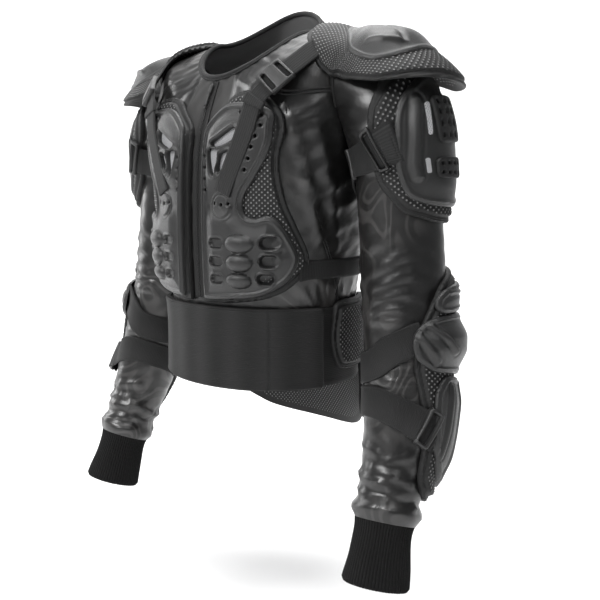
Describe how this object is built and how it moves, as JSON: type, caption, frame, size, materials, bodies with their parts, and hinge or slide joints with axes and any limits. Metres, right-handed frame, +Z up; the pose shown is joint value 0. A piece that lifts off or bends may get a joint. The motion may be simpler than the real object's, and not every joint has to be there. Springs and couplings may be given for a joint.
{
  "type": "motorcycle body protector",
  "caption": "Black stretch riding jacket with padded guards, hard shells, straps, a front zip and a wide waist belt.",
  "frame": {"origin": "on the wearer's body axis at the height of the shoulder points, where the jacket hangs from the shoulders", "axes": "+Z up, -Y the way the wearer faces, +X to the wearer's left"},
  "size_m": [0.648, 0.2721, 0.7368],
  "materials": {
    "stretch": "satin stretch knit",
    "knit": "ribbed, matt",
    "foam": "padded and dotted with small pits, matt",
    "shell": "moulded, half matt",
    "webbing": "flat woven",
    "elastic": "elastic, ribbed along",
    "buckle": "moulded, half matt",
    "zip": "coil zip"
  },
  "bodies": {
    "root": {"arm_foam_left": "foam", "arm_foam_right": "foam", "arm_shell_left": "shell", "arm_shell_right": "shell", "arm_slide_left": "buckle", "arm_slide_right": "buckle", "arm_strap_left": "elastic", "arm_strap_right": "elastic", "arm_vent_lower_left": "shell", "arm_vent_lower_right": "shell", "arm_vent_upper_left": "shell", "arm_vent_upper_right": "shell", "back_foam": "foam", "back_plate_1": "shell", "back_plate_2": "shell", "back_plate_3": "shell", "back_plate_4": "shell", "back_plate_5": "shell", "back_wing_left": "foam", "back_wing_right": "foam", "belt_front": "elastic", "chest_buckle_left": "buckle", "chest_buckle_right": "buckle", "chest_foam_left": "foam", "chest_foam_right": "foam", "chest_shell_left": "shell", "chest_shell_right": "shell", "chest_strap_left": "webbing", "chest_strap_right": "webbing", "cuff_left": "knit", "cuff_right": "knit", "elbow_buckle_left": "buckle", "elbow_buckle_right": "buckle", "elbow_cup_left": "shell", "elbow_cup_right": "shell", "elbow_foam_left": "foam", "elbow_foam_right": "foam", "elbow_strap_lower_left": "elastic", "elbow_strap_lower_right": "elastic", "elbow_strap_upper_left": "elastic", "elbow_strap_upper_right": "elastic", "elbow_top_plate_left": "shell", "elbow_top_plate_right": "shell", "forearm_shell_left": "shell", "forearm_shell_right": "shell", "front_zip": "zip", "jacket_body": "stretch", "shoulder_foam_left": "foam", "shoulder_foam_right": "foam", "shoulder_shell_left": "shell", "shoulder_shell_right": "shell", "side_strap_left": "elastic", "side_strap_right": "elastic", "sleeve_left": "stretch", "sleeve_right": "stretch", "waist_belt": "elastic", "zip_slider": "zip"}
  },
  "joints": []
}
